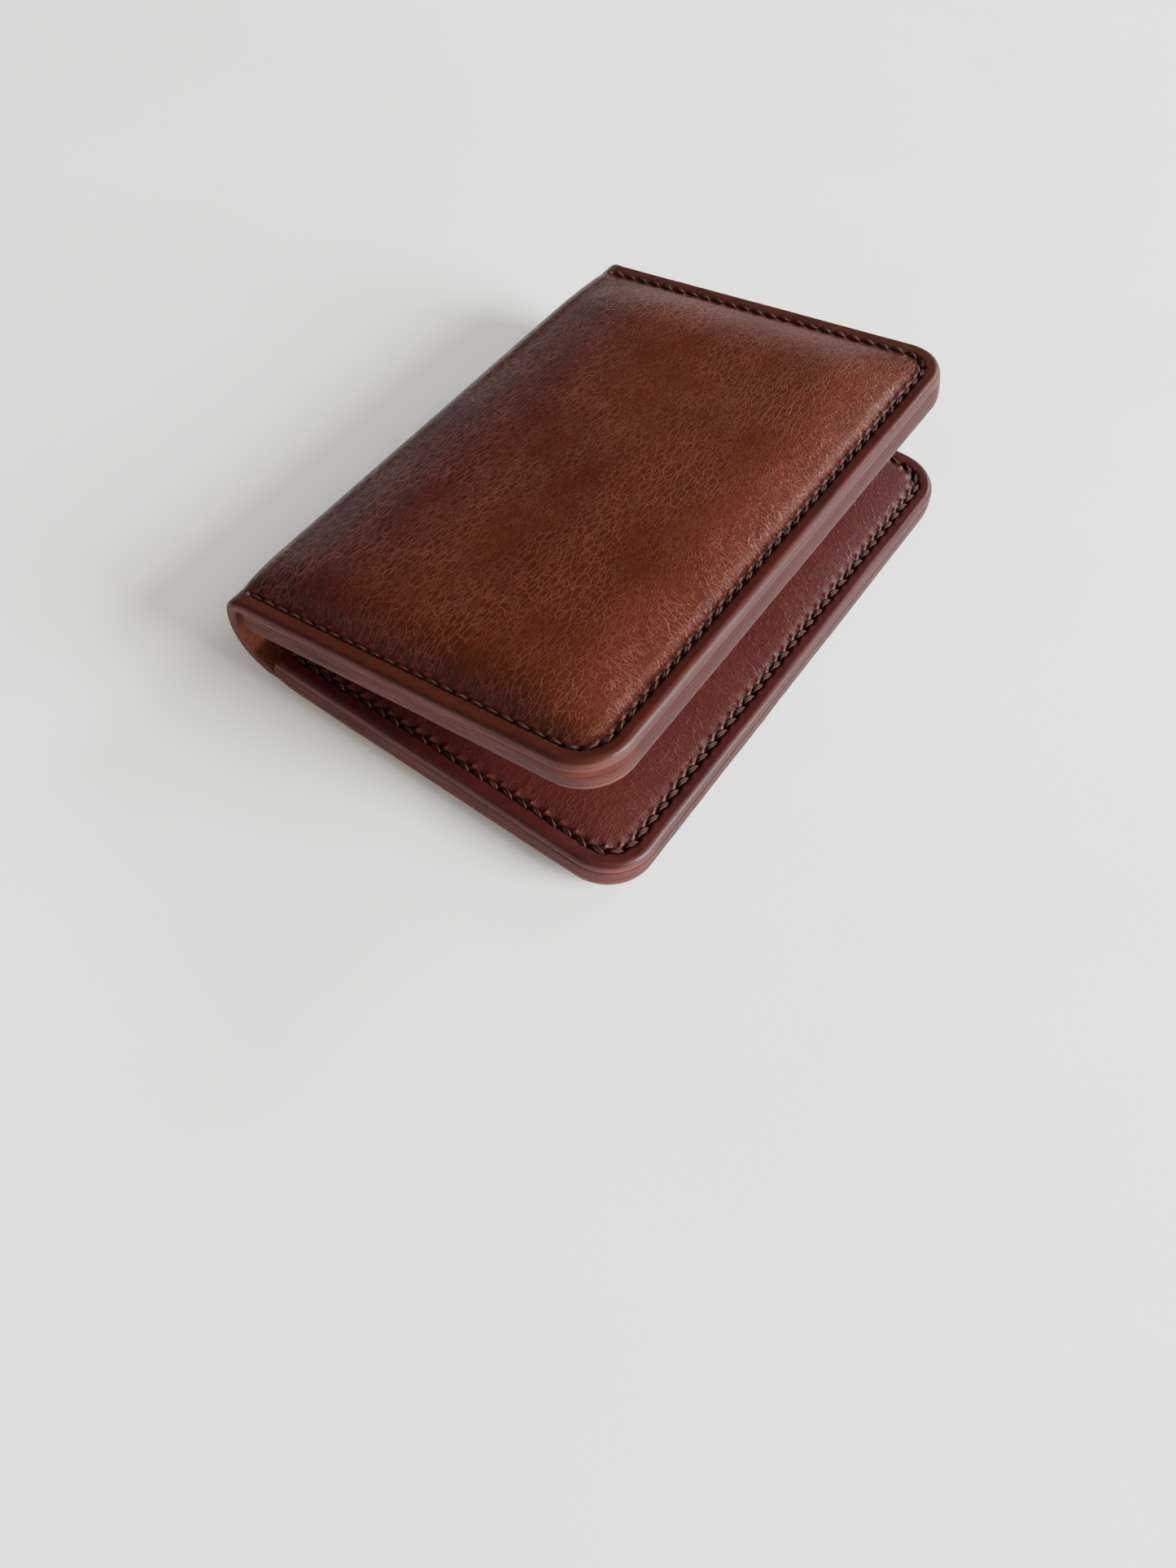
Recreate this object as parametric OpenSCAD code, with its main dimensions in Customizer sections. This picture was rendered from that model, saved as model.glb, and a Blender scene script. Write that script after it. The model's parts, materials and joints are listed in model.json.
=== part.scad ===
// Folding business card case in stitched leather.
// Two padded covers are joined by one wrap of leather that bends round the
// spine.  Each cover is a stack: cover leather, dome padding, lining, three
// welt strips that leave room for cards, and a pocket panel that is open
// towards the spine.  The case lies on its back cover, slightly open.
// X runs from the spine to the fore edge, Y along the spine, Z up, and the
// origin is under the middle of the case, where it rests.

/* [Case] */
// Length of the case along the spine
case_len = 104; // [98:0.5:110]
// Depth of the back cover with the spine, from the spine to the fore edge
case_w = 75.8; // [70:0.2:82]
// Radius of the two corners at the fore edge
corner_r = 8.3; // [6:0.1:11]
// Angle of the front cover at rest
open_deg = 11.35; // [9:0.05:14]

/* [Leather] */
// Thickness of the cover leather
cover_t = 1.7; // [1.4:0.1:2]
// Thickness of the lining behind the cards
lining_t = 1; // [0.8:0.1:1.2]
// Thickness of the welt strips, which is the depth of a card pocket
welt_t = 1.9; // [1.5:0.1:2.2]
// Thickness of the pocket panel
pocket_t = 1.5; // [1.2:0.1:1.8]
// Width of the welt strips
welt_w = 5; // [4.5:0.1:6]

/* [Domes] */
// Height of the dome on the back cover above its edge
dome_back = 2; // [1.4:0.1:2.6]
// Height of the dome on the front cover above its edge
dome_front = 2.4; // [1.6:0.1:3]
// Distance over which a dome falls at the fore edge, the far end and the spine
dome_run = 13; // [9:0.5:16]
// Distance over which a dome falls at the near end
dome_run_near = 7; // [5:0.5:12]
// Flat margin round a dome, which carries the stitching
margin_w = 4.3; // [4:0.1:5]

/* [Spine] */
// Outer length of the lower strip of the spine
strip_lower = 9.2; // [8.6:0.1:9.8]
// Outer length of the middle strip of the spine
strip_middle = 6.05; // [5.6:0.05:6.5]
// Outer length of the upper strip of the spine
strip_upper = 5; // [4.6:0.1:5.4]

/* [Stitching] */
// Distance from one stitch to the next
pitch = 2.7; // [2.5:0.05:3]
// Length of one stitch
stitch_l = 2.1; // [1.8:0.05:2.3]
// Width of one stitch
stitch_w = 0.7; // [0.5:0.05:0.8]
// Distance of the stitch line from the edge
stitch_in = 3.1; // [2.9:0.05:3.3]
// Depth of the groove that the stitches lie in
groove_d = 0.45; // [0.3:0.05:0.5]
// Slant of each stitch to its line
slant = 10; // [0:1:14]

/* [Hidden] */

// The fold turns by the same angle at each of its four bends.
turn = (180 - open_deg) / 4;
bend_gap = 0.1;      // gap between a leather end and the bend line
mitre = 24;          // half angle that the ends are skived to
joint = 0.02;        // room between glued layers

function unit(a) = [cos(a), sin(a)];
a1 = 180 - turn;
a2 = 180 - 2 * turn;
a3 = 180 - 3 * turn;
a4 = open_deg;
// Bend lines relative to the first, in the X-Z plane
b2 = strip_lower * unit(a1);
b3 = b2 + strip_middle * unit(a2);
b4 = b3 + strip_upper * unit(a3);
hinge_x = -min(b2[0], b3[0]);
P1 = [hinge_x - case_w / 2, dome_back];
P2 = P1 + b2;
P3 = P1 + b3;
P4 = P1 + b4;

// Both covers have the same depth from the bend to the fore edge.
panel_w = case_w - hinge_x;
half = case_len / 2;
z_lining = -cover_t - lining_t;
z_welt = z_lining - welt_t;
z_pocket = z_welt - pocket_t;
skive = bend_gap + cover_t * tan(mitre);
lining_u = skive + 0.35;
pocket_u = skive + 0.6;

// ---- outline of one cover: U from the bend to the fore edge, Y along it ----
module outline(u0, inset) {
    r = corner_r - inset;
    translate([u0, -half + inset]) square([panel_w - corner_r - u0, case_len - 2 * inset]);
    translate([panel_w - corner_r - 1, -half + corner_r])
        square([1 + corner_r - inset, case_len - 2 * corner_r]);
    for (s = [-1, 1]) translate([panel_w - corner_r, s * (half - corner_r)]) circle(r = r, $fn = 64);
}
module plate(u0, inset, z0, z1) {
    translate([0, 0, z0]) linear_extrude(height = z1 - z0) outline(u0, inset);
}

// ---- dome: the common part of a section along U and a section along Y ----
steps = 7;
function ease(t) = sin(90 * t) * (1 - 0.25 * (1 - t) * (1 - t));
function rise(from, run, h, dir) = [for (i = [0:steps])
    let (t = dir > 0 ? i / steps : 1 - i / steps) [from + dir * run * t, h * ease(t)]];
module section_u(u0, h, base) {
    pts = concat([[u0, base]], rise(u0, dome_run, h, 1),
        rise(panel_w - margin_w, dome_run, h, -1), [[panel_w - margin_w, base]]);
    translate([0, half + 1, 0]) rotate([90, 0, 0]) linear_extrude(height = case_len + 2) polygon(pts);
}
module section_y(h, base, grow) {
    y0 = -half + margin_w;
    y1 = half - margin_w;
    pts = concat([[y0, base]], rise(y0, dome_run_near, h, 1), rise(y1, dome_run, h, -1), [[y1, base]]);
    rotate([90, 0, 90]) linear_extrude(height = panel_w + grow) polygon(pts);
}
module dome(h, base, u0) {
    intersection() {
        section_u(u0, h, base);
        section_y(h, base, 1);
        translate([0, 0, base - 1]) linear_extrude(height = h - base + 2) outline(0, margin_w);
    }
}

// ---- pieces of one cover, in the cover's own frame, outer side up ----
module skived_end() {
    rotate([90, 0, 0]) linear_extrude(height = case_len + 2, center = true)
        polygon([[-2, 1], [bend_gap, 1], [bend_gap, 0], [bend_gap + (cover_t + 1) * tan(mitre), -cover_t - 1], [-2, -cover_t - 1]]);
}
module stitch_groove(u0, z0, z1) {
    difference() {
        plate(u0, stitch_in - 0.5, z0, z1);
        plate(u0 - 1, stitch_in + 0.5, z0 - 1, z1 + 1);
    }
}
module cover_leather(h) {
    difference() {
        union() {
            plate(0, 0, -cover_t, 0);
            dome(h, -cover_t / 2, 2);
        }
        translate([0, 0, -cover_t]) dome(h, -1, 3);
        skived_end();
        stitch_groove(first_u, -groove_d, 1);
    }
}
module dome_padding(h) {
    intersection() {
        translate([0, 0, -cover_t - 0.06]) dome(h, -1, 3.2);
        translate([0, -half, -cover_t]) cube([panel_w, case_len, 10]);
    }
}
module lining() { plate(lining_u, 0, z_lining + joint, -cover_t - joint); }
module welt_end(s) {
    intersection() {
        plate(lining_u, 0, z_welt + joint, z_lining - joint);
        translate([0, s > 0 ? half - welt_w : -half - 1, z_welt - 1]) cube([panel_w + 1, welt_w + 1, welt_t + 2]);
    }
}
module welt_fore() {
    intersection() {
        plate(lining_u, 0, z_welt + joint, z_lining - joint);
        translate([panel_w - welt_w, -half + welt_w + joint, z_welt - 1])
            cube([welt_w + 1, case_len - 2 * welt_w - 2 * joint, welt_t + 2]);
    }
}
module pocket_panel() {
    difference() {
        plate(pocket_u, 0, z_pocket, z_welt - joint);
        stitch_groove(first_u + pitch, z_pocket - 1, z_pocket + groove_d);
    }
}

// ---- stitch line: near end, fore corner, fore edge, far corner, far end ----
first_u = 0.2;       // where the outer row starts; the inner row is one stitch shorter at each end
run_end = panel_w - corner_r - first_u;
arc_r = corner_r - stitch_in;
run_arc = PI / 2 * arc_r;
run_fore = case_len - 2 * corner_r;
run_all = 2 * run_end + 2 * run_arc + run_fore;
count = floor(run_all / pitch);
step_s = run_all / count;
// Place and direction at distance s along half of the line, then mirrored in Y
function place(s) =
    s < run_end ? [first_u + s, -half + stitch_in, 0] :
    s < run_end + run_arc ? let (a = (s - run_end) / arc_r * 180 / PI)
        [panel_w - corner_r + arc_r * sin(a), -half + corner_r - arc_r * cos(a), a] :
    [panel_w - stitch_in, -half + corner_r + (s - run_end - run_arc), 90];
function spot(s) = s <= run_all / 2 ? place(s) :
    let (p = place(run_all - s)) [p[0], -p[1], 180 - p[2]];
module stitch_row(z, side, skip) {
    for (i = [skip:count - 1 - skip]) {
        p = spot((i + 0.5) * step_s);
        translate([p[0], p[1], z]) rotate([0, 0, p[2] + side * slant])
            cube([stitch_l, stitch_w, groove_d], center = true);
    }
}
module stitching() {
    stitch_row(-groove_d / 2 + 0.04, 1, 0);
    stitch_row(z_pocket + groove_d / 2 - 0.04, -1, 1);
}

// ---- placing the two covers ----
module at_back() { translate([P1[0], 0, P1[1]]) mirror([0, 0, 1]) children(); }
module at_front() { translate([P4[0], 0, P4[1]]) rotate([0, -a4, 0]) children(); }

// ---- one strip of the spine, from one bend line to the next ----
module strip(from, angle, length) {
    cut = cover_t * tan(mitre);
    translate([from[0], 0, from[1]]) rotate([0, -angle, 0]) rotate([90, 0, 0])
        linear_extrude(height = case_len, center = true)
            polygon([[bend_gap, 0], [length - bend_gap, 0],
                     [length - bend_gap - cut, -cover_t], [bend_gap + cut, -cover_t]]);
}

module cover_back() { color([0.42, 0.17, 0.13]) at_back() cover_leather(dome_back); }
module padding_back() { color([0.75, 0.66, 0.52]) at_back() dome_padding(dome_back); }
module lining_back() { color([0.62, 0.36, 0.22]) at_back() lining(); }
module welt_back_near() { color([0.45, 0.32, 0.32]) at_back() welt_end(-1); }
module welt_back_fore() { color([0.47, 0.32, 0.31]) at_back() welt_fore(); }
module welt_back_far() { color([0.45, 0.31, 0.3]) at_back() welt_end(1); }
module pocket_back() { color([0.36, 0.14, 0.13]) at_back() pocket_panel(); }
module stitching_back() { color([0.2, 0.11, 0.09]) at_back() stitching(); }

module cover_spine_lower() { color([0.38, 0.17, 0.15]) strip(P1, a1, strip_lower); }
module cover_spine_middle() { color([0.4, 0.18, 0.15]) strip(P2, a2, strip_middle); }
module cover_spine_upper() { color([0.38, 0.16, 0.14]) strip(P3, a3, strip_upper); }

module cover_front() { color([0.42, 0.18, 0.13]) at_front() cover_leather(dome_front); }
module padding_front() { color([0.75, 0.66, 0.52]) at_front() dome_padding(dome_front); }
module lining_front() { color([0.62, 0.36, 0.22]) at_front() lining(); }
module welt_front_near() { color([0.45, 0.32, 0.32]) at_front() welt_end(-1); }
module welt_front_fore() { color([0.47, 0.32, 0.31]) at_front() welt_fore(); }
module welt_front_far() { color([0.45, 0.31, 0.3]) at_front() welt_end(1); }
module pocket_front() { color([0.36, 0.14, 0.13]) at_front() pocket_panel(); }
module stitching_front() { color([0.2, 0.11, 0.09]) at_front() stitching(); }

cover_back();
padding_back();
lining_back();
welt_back_near();
welt_back_fore();
welt_back_far();
pocket_back();
stitching_back();
cover_spine_lower();
cover_spine_middle();
cover_spine_upper();
cover_front();
padding_front();
lining_front();
welt_front_near();
welt_front_fore();
welt_front_far();
pocket_front();
stitching_front();
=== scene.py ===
import bpy
import json
import math
import numpy as np
from mathutils import Vector, Matrix


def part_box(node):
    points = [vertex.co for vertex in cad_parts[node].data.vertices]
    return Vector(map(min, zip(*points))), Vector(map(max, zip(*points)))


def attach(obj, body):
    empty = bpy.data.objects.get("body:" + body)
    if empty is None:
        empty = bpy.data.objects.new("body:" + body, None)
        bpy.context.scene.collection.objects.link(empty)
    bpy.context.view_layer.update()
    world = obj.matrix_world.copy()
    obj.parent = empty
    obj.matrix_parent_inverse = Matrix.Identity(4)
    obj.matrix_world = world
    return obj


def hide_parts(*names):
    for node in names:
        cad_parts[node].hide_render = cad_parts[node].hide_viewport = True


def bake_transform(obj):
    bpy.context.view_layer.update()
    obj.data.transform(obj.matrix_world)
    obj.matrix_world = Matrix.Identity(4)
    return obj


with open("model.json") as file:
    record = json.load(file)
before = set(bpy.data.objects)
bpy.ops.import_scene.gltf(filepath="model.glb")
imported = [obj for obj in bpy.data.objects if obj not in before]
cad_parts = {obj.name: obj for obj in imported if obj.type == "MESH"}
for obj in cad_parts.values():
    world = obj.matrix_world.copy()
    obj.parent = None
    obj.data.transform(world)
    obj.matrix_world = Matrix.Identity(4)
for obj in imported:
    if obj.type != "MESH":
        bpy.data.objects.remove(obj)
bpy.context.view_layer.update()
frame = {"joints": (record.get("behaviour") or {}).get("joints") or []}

# --------------------------------------------------------------------------
# Layout, in millimetres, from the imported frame
# --------------------------------------------------------------------------
J = {j["name"]: j for j in frame["joints"]}
H = [np.array([J[n]["pos_m"][0], J[n]["pos_m"][2]]) * 1000.0
     for n in ("fold_back", "fold_spine_low", "fold_spine_high", "fold_front")]
lo_b, hi_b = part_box("cover_back")
W = hi_b.x * 1000.0 - H[0][0]
HALF = hi_b.y * 1000.0
d12 = H[1] - H[0]
TURN = math.pi - math.atan2(d12[1], d12[0])
OPEN = math.pi - 4 * TURN
R_CORNER = 8.3
COVER_T, LINING_T, WELT_T, POCKET_T = 1.7, 1.0, 1.9, 1.5
Z_LIN = -COVER_T - LINING_T
Z_WELT = Z_LIN - WELT_T
Z_POCK = Z_WELT - POCKET_T
WELT_W = 5.0
STITCH_IN = 3.1
FIRST = 0.2
ARC_R = R_CORNER - STITCH_IN
ARC = math.pi / 2 * ARC_R
FORE = 2 * (HALF - R_CORNER)
STRAIGHT = W - R_CORNER
T_ALL = 2 * STRAIGHT + 2 * ARC + FORE
COUNT = int(math.floor((T_ALL - 2 * FIRST) / 2.7))
PITCH = (T_ALL - 2 * FIRST) / COUNT
FINE = 12
STEP = PITCH / FINE
SEAM = 1.5
PINCH_U, PINCH_H = 6.0, 0.9
MM = 0.001


def smooth(x, a, b):
    t = np.clip((np.asarray(x, float) - a) / (b - a), 0, 1)
    return t * t * (3 - 2 * t)


def hash01(i, j, seed):
    i = np.asarray(i, np.int64); j = np.asarray(j, np.int64)
    n = (i * 374761393 + j * 668265263 + seed * 1442695041) & 0x7FFFFFFF
    n = ((n ^ (n >> 13)) * 1274126177) & 0x7FFFFFFF
    n = (n ^ (n >> 16)) & 0x7FFFFFFF
    return n / 0x7FFFFFFF


def vnoise(x, y, seed=0):
    x = np.asarray(x, float); y = np.asarray(y, float)
    i = np.floor(x).astype(np.int64); j = np.floor(y).astype(np.int64)
    fx = x - i; fy = y - j
    fx = fx * fx * fx * (fx * (fx * 6 - 15) + 10)
    fy = fy * fy * fy * (fy * (fy * 6 - 15) + 10)
    a = hash01(i, j, seed); b = hash01(i + 1, j, seed)
    c = hash01(i, j + 1, seed); d = hash01(i + 1, j + 1, seed)
    return ((a * (1 - fx) + b * fx) * (1 - fy) + (c * (1 - fx) + d * fx) * fy) * 2 - 1


def fbm(x, y, seed=0, octaves=3):
    total, amp = 0.0, 1.0
    for o in range(octaves):
        total = total + amp * vnoise(np.asarray(x) * 2 ** o, np.asarray(y) * 2 ** o, seed + 17 * o)
        amp *= 0.5
    return total


# --------------------------------------------------------------------------
# Placing: U from the bend to the fore edge, Y along the spine, W outwards
# --------------------------------------------------------------------------
def pinch(u):
    return PINCH_H * np.clip((PINCH_U - np.asarray(u, float)) / (PINCH_U - SEAM), 0, 1.35) ** 1.6


def place_back(u, y, w):
    u = np.asarray(u, float); w = np.asarray(w, float)
    w2 = w - pinch(u) * np.clip(1 + w / 6.1, 0, 1)
    return np.stack([H[0][0] + u, np.broadcast_to(y, u.shape), H[0][1] - w2], -1)


CO, SO = math.cos(OPEN), math.sin(OPEN)


def place_front(u, y, w):
    u = np.asarray(u, float); w = np.asarray(w, float)
    return np.stack([H[3][0] + u * CO - w * SO, np.broadcast_to(y, u.shape), H[3][1] + u * SO + w * CO], -1)


# --------------------------------------------------------------------------
# The surfaces
# --------------------------------------------------------------------------
def fall(d, run, p):
    return 1 - (1 - np.clip(d / run, 0, 1)) ** p


def stitch_relief(m, t, seed, inner):
    """Relief of the leather round one row of stitches: trough, holes and puckers."""
    q = m - STITCH_IN
    k = (t - FIRST) / PITCH
    ph = 2 * np.pi * (k - 0.5)
    cell = np.floor(k).astype(int)
    hole = np.round(k).astype(int)
    jit = hash01(cell, cell * 0, seed) - 0.5
    jit2 = hash01(hole, hole * 0, seed + 5) - 0.5
    c = np.cos(ph)
    alive = smooth(t, FIRST - 0.5, FIRST + 0.3) * (1 - smooth(t, T_ALL - FIRST - 0.3, T_ALL - FIRST + 0.5))
    if inner:
        a_in = 0.50 + 0.16 * c + 0.08 * jit
        a_out = 0.40 + 0.08 * c
        depth = 0.44 - 0.04 * c
        q = q + 0.10 * np.sin(ph)
    else:
        a_in = 0.42 + 0.12 * c + 0.08 * jit
        a_out = 0.38 + 0.07 * c
        depth = 0.36 - 0.05 * c
        q = q + 0.05 * np.sin(ph)
    prof = np.where(q > 0, np.exp(-np.abs(q / a_in) ** 3.0), np.exp(-np.abs(q / a_out) ** 2.6))
    groove = -depth * prof
    # needle holes between stitches
    dt = (k - np.round(k)) * PITCH
    holes = -0.80 * np.exp(-((dt / 0.40) ** 2 + (q / 0.38) ** 2))
    # leather pulled up into little ridges beside each hole, on the padded side
    side = np.exp(-((q - (0.80 if inner else 0.70)) / (0.34 if inner else 0.30)) ** 2)
    ridge = (0.20 if inner else 0.13) * (1 + 0.9 * jit2) * side * np.exp(-((dt + (0.16 if inner else 0.1)) / 0.30) ** 2)
    swale = -(0.13 if inner else 0.08) * np.exp(-((q - 0.95) / 0.62) ** 2) * (0.5 + 0.5 * c) * (1 + jit)
    side2 = np.exp(-((q + 0.62) / 0.25) ** 2)
    ridge2 = 0.05 * (1 + jit2) * side2 * np.exp(-((dt - 0.2) / 0.45) ** 2)
    return alive * (groove + holes + ridge + swale + ridge2)


def dome_shape(u, y, m, roll=False):
    """Height of the padding, 0 to 1. With roll, it runs on over the turn of the spine."""
    dn, df, dx = y + HALF, HALF - y, W - u
    off = STITCH_IN + 0.45
    dome = fall(dn - off, 9.0, 2.3) * fall(df - off, 14.5, 2.0) * fall(dx - off, 14.0, 2.0)
    if roll:
        d = np.asarray(u, float) + 3.4
        dome = dome * fall(0.5 * (d + np.sqrt(d * d + 7.0)), 21.0, 2.4)
    else:
        dome = dome * smooth(u, 0.2, 15.0) ** 0.9
    return dome * smooth(m, STITCH_IN + 0.1, STITCH_IN + 2.6)


def cover_height(u, y, m, t, crown, seed):
    """Outer face of a cover above its edge plane."""
    dome = dome_shape(u, y, m, crown > 2.4)
    band = np.clip((m - 1.15) / (STITCH_IN - 1.15), 0, 1)
    starts = smooth(u, -0.4, 1.5)
    margin = -0.17 * band ** 1.6 * starts
    sag = 0.10 * fbm(u / 17.0, y / 21.0, seed, 2) * smooth(m, 4, 12)
    fine = 0.016 * fbm(u / 1.9, y / 3.1, seed + 3, 3) * smooth(m, 3.6, 5.0)
    wav = 0.035 * vnoise(t / 6.0, m * 0 + 0.5, seed + 9) * smooth(m, 1.0, 1.6) * (1 - smooth(m, 2.2, 3.0))
    return crown * dome + margin + (sag + fine + wav) * starts + stitch_relief(m, t, seed, False)


def pocket_height(u, y, m, t, seed):
    """Inner face of a pocket panel above its edge plane."""
    dn, df, dx = y + HALF, HALF - y, W - u
    off = STITCH_IN + 0.4
    lift = 0.42 * fall(dn - off, 5.0, 2.0) * fall(df - off, 6.0, 2.0) * fall(dx - off, 6.0, 2.0)
    lift = lift * smooth(m, STITCH_IN + 0.1, STITCH_IN + 1.8)
    band = np.clip((m - 1.15) / (STITCH_IN - 1.15), 0, 1)
    margin = -0.14 * band ** 1.5
    sag = 0.07 * fbm(u / 19.0, y / 23.0, seed, 2) * smooth(m, 4, 11)
    wav = 0.03 * vnoise(t / 5.0, m * 0 + 0.5, seed + 9) * (1 - smooth(m, 2.2, 3.0))
    tt = np.clip(t, FIRST + PITCH * 0.98, T_ALL - FIRST - PITCH * 0.98)
    live = (smooth(t, FIRST + PITCH * 0.9, FIRST + PITCH * 1.1)
            * (1 - smooth(t, T_ALL - FIRST - PITCH * 1.1, T_ALL - FIRST - PITCH * 0.9)))
    return lift + margin + sag + wav + stitch_relief(m, tt, seed, True) * live


# Rounded, burnished edge of the whole stack: inset at each depth
EDGE_W = np.array([0, -0.10, -0.36, -0.74, -1.3, -2.1, -3.0, -4.0, -4.8, -5.36, -5.74, -6.0, -6.1])
EDGE_E = np.array([1.15, 0.74, 0.42, 0.20, 0.06, 0.0, -0.02, 0.0, 0.07, 0.22, 0.44, 0.76, 1.15])


def edge_inset(w, t, seed):
    base = np.interp(-np.asarray(w, float), -EDGE_W, EDGE_E)
    wave = 0.05 * vnoise(np.asarray(t) / 9.0, np.asarray(w) / 3.0, seed + 31) + 0.02 * vnoise(np.asarray(t) / 2.2, np.asarray(w) / 1.1, seed + 37)
    t = np.asarray(t, float)
    return np.maximum(base + 0.03 + wave * smooth(np.minimum(t, T_ALL - t), 1.6, 6.0), 0.0)


# --------------------------------------------------------------------------
# Mesh helpers
# --------------------------------------------------------------------------
class Build:
    def __init__(self):
        self.co, self.faces, self.mat, self.attrs = [], [], [], {}
        self.n = 0

    def add(self, co, **attrs):
        co = np.asarray(co, float).reshape(-1, 3)
        k = len(co)
        self.co.append(co)
        for name in set(self.attrs) | set(attrs):
            if name not in attrs:
                raise ValueError(name)
            self.attrs.setdefault(name, []).append(np.broadcast_to(np.asarray(attrs[name], float), (k,) + np.shape(attrs[name])[1:]).reshape(k, -1))
        idx = np.arange(self.n, self.n + k)
        self.n += k
        return idx

    def quads(self, a, b, mat=0, close=False):
        """Strip of quads between two rows of indices of equal length."""
        n = len(a)
        for i in range(n if close else n - 1):
            k = (i + 1) % n
            self.faces.append((a[i], a[k], b[k], b[i])); self.mat.append(mat)

    def face(self, f, mat=0):
        self.faces.append(tuple(f)); self.mat.append(mat)

    def zipper(self, a, ta, b, tb, mat=0):
        i = j = 0
        while i < len(a) - 1 or j < len(b) - 1:
            if j == len(b) - 1 or (i < len(a) - 1 and ta[i + 1] <= tb[j + 1]):
                self.faces.append((a[i], a[i + 1], b[j])); i += 1
            else:
                self.faces.append((a[i], b[j + 1], b[j])); j += 1
            self.mat.append(mat)

    def object(self, name, mats, sharp=38.0, weld=0.0):
        co = np.concatenate(self.co) * MM
        me = bpy.data.meshes.new(name)
        me.from_pydata(co.tolist(), [], [tuple(int(x) for x in f) for f in self.faces])
        me.update()
        for k, v in self.attrs.items():
            v = np.concatenate(v)
            if v.shape[1] == 3:
                at = me.attributes.new(k, "FLOAT_VECTOR", "POINT")
                at.data.foreach_set("vector", v.astype(np.float32).ravel())
            else:
                at = me.attributes.new(k, "FLOAT", "POINT")
                at.data.foreach_set("value", v[:, 0].astype(np.float32))
        for m in mats:
            me.materials.append(m)
        me.polygons.foreach_set("material_index", np.array(self.mat, np.int32))
        import bmesh
        bm = bmesh.new(); bm.from_mesh(me)
        if weld:
            bmesh.ops.remove_doubles(bm, verts=bm.verts, dist=weld * MM)
        bmesh.ops.recalc_face_normals(bm, faces=bm.faces)
        bm.to_mesh(me); bm.free()
        me.polygons.foreach_set("use_smooth", [True] * len(me.polygons))
        me.set_sharp_from_angle(angle=math.radians(sharp))
        me.update()
        o = bpy.data.objects.new(name, me)
        bpy.context.scene.collection.objects.link(o)
        return o


def outline_points(ts):
    """Points on the outline and inward unit vectors, for places ts along the stitch line."""
    ts = np.asarray(ts, float)
    B = np.zeros((len(ts), 2)); N = np.zeros((len(ts), 2))
    t1, t2 = STRAIGHT, STRAIGHT + ARC
    t3, t4 = t2 + FORE, t2 + FORE + ARC
    for k, t in enumerate(ts):
        if t <= t1:
            B[k] = (t, -HALF); N[k] = (0, 1)
        elif t < t2:
            a = (t - t1) / ARC_R
            d = np.array([math.sin(a), -math.cos(a)])
            B[k] = np.array([W - R_CORNER, -HALF + R_CORNER]) + R_CORNER * d; N[k] = -d
        elif t <= t3:
            B[k] = (W, -HALF + R_CORNER + t - t2); N[k] = (-1, 0)
        elif t < t4:
            a = (t - t3) / ARC_R
            d = np.array([math.cos(a), math.sin(a)])
            B[k] = np.array([W - R_CORNER, HALF - R_CORNER]) + R_CORNER * d; N[k] = -d
        else:
            B[k] = (T_ALL - t, HALF); N[k] = (0, -1)
    return B, N


def fine_places(u0, extra=()):
    js = np.arange(-40, FINE * COUNT + 41)
    t = FIRST + js * STEP
    keep = (t > u0 + 0.12 + (max(extra) if extra else 0)) & (t < T_ALL - u0 - 0.12 - (max(extra) if extra else 0))
    js, t = js[keep], t[keep]
    head = [u0] + [u0 + e for e in extra]
    tail = [T_ALL - u0 - e for e in reversed(extra)] + [T_ALL - u0]
    return np.concatenate([head, t, tail]), np.concatenate([[1] * len(head), js, [1] * len(tail)]), len(head)


RINGS = np.concatenate([[7.9, 7.35, 6.8, 6.3, 5.85, 5.45, 5.1, 4.8, 4.55], np.arange(4.34, 2.2, -0.165), [2.0, 1.75, 1.5, 1.32]])


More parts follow.
